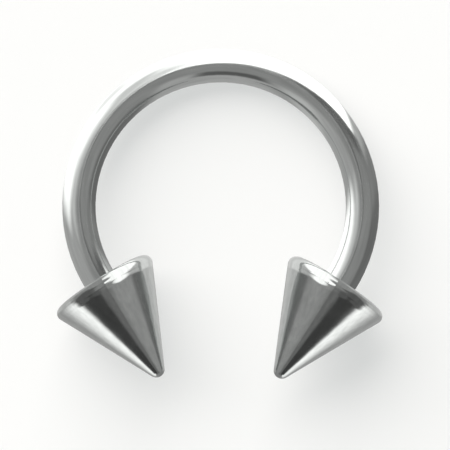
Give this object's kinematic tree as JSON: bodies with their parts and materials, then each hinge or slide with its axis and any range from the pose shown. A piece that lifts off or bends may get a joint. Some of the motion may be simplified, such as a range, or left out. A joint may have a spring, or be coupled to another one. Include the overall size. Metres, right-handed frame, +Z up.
{
  "type": "horseshoe barbell",
  "caption": "Horseshoe-shaped barbell for a body piercing: a bow of round steel wire with a screw-on cone at each end.",
  "frame": {"origin": "on the resting surface, under the middle of the bounding box", "axes": "+Z up, +Y across the surface from the cones towards the crown of the bow, +X to the right across the bow"},
  "size_m": [0.0156, 0.0156, 0.0052],
  "materials": {
    "wire_steel": "polished",
    "cone_steel": "polished"
  },
  "bodies": {
    "bar": {"bar": "wire_steel"},
    "cone_left": {"cone_left": "cone_steel"},
    "cone_right": {"cone_right": "cone_steel"}
  },
  "joints": [
    {"name": "cone_left_unscrew", "type": "slide", "parent": "bar", "child": "cone_left", "axis": [0.5432, -0.8276, 0.1413], "range_m": [0, 0.0025]},
    {"name": "cone_right_unscrew", "type": "slide", "parent": "bar", "child": "cone_right", "axis": [-0.5432, -0.8276, 0.1413], "range_m": [0, 0.0025]}
  ]
}
